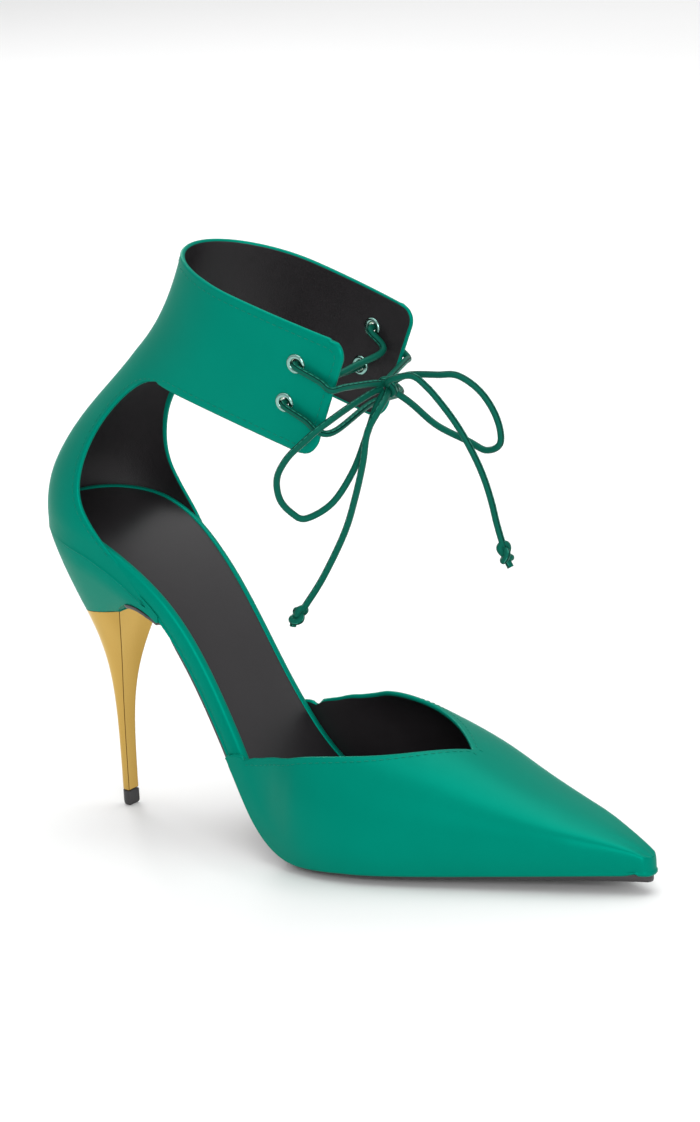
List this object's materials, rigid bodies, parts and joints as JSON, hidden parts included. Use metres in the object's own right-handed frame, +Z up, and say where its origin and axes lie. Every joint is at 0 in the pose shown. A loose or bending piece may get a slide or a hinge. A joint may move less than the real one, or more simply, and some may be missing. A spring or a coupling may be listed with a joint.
{
  "type": "lace up heel",
  "caption": "Right shoe: pointed d'Orsay pump in satin with a stiletto heel, open waist and an ankle cuff closed in front by a laced bow.",
  "frame": {"origin": "on the floor, under the middle of the shoe's length and width", "axes": "+X towards the toe, +Z up, +Y towards the inner (medial) side of the right foot"},
  "size_m": [0.2228, 0.0739, 0.1919],
  "materials": {
    "satin": "green satin",
    "lining_leather": "smooth black lining leather",
    "sole_leather": "smooth dark sole leather",
    "polished_gold": "polished gold plating",
    "top_piece_rubber": "matte black",
    "lace_leather": "round dark green leather lace",
    "eyelet_metal": "polished, green tinted"
  },
  "bodies": {
    "root": {"outsole": "sole_leather", "insole_board": "satin", "insole_sock": "lining_leather", "upper": "satin", "heel_block": "satin", "heel_stem": "polished_gold", "top_piece": "top_piece_rubber", "sole_plate": "polished_gold", "eyelet_lateral_lower": "eyelet_metal", "eyelet_lateral_upper": "eyelet_metal", "eyelet_medial_lower": "eyelet_metal", "eyelet_medial_upper": "eyelet_metal", "lace_bar": "lace_leather", "lace_cross": "lace_leather", "lace_run_lateral": "lace_leather", "lace_run_medial": "lace_leather", "lace_knot": "lace_leather", "lace_loop_lateral": "lace_leather", "lace_loop_medial": "lace_leather", "lace_end_lateral": "lace_leather", "lace_end_medial": "lace_leather"}
  },
  "joints": []
}
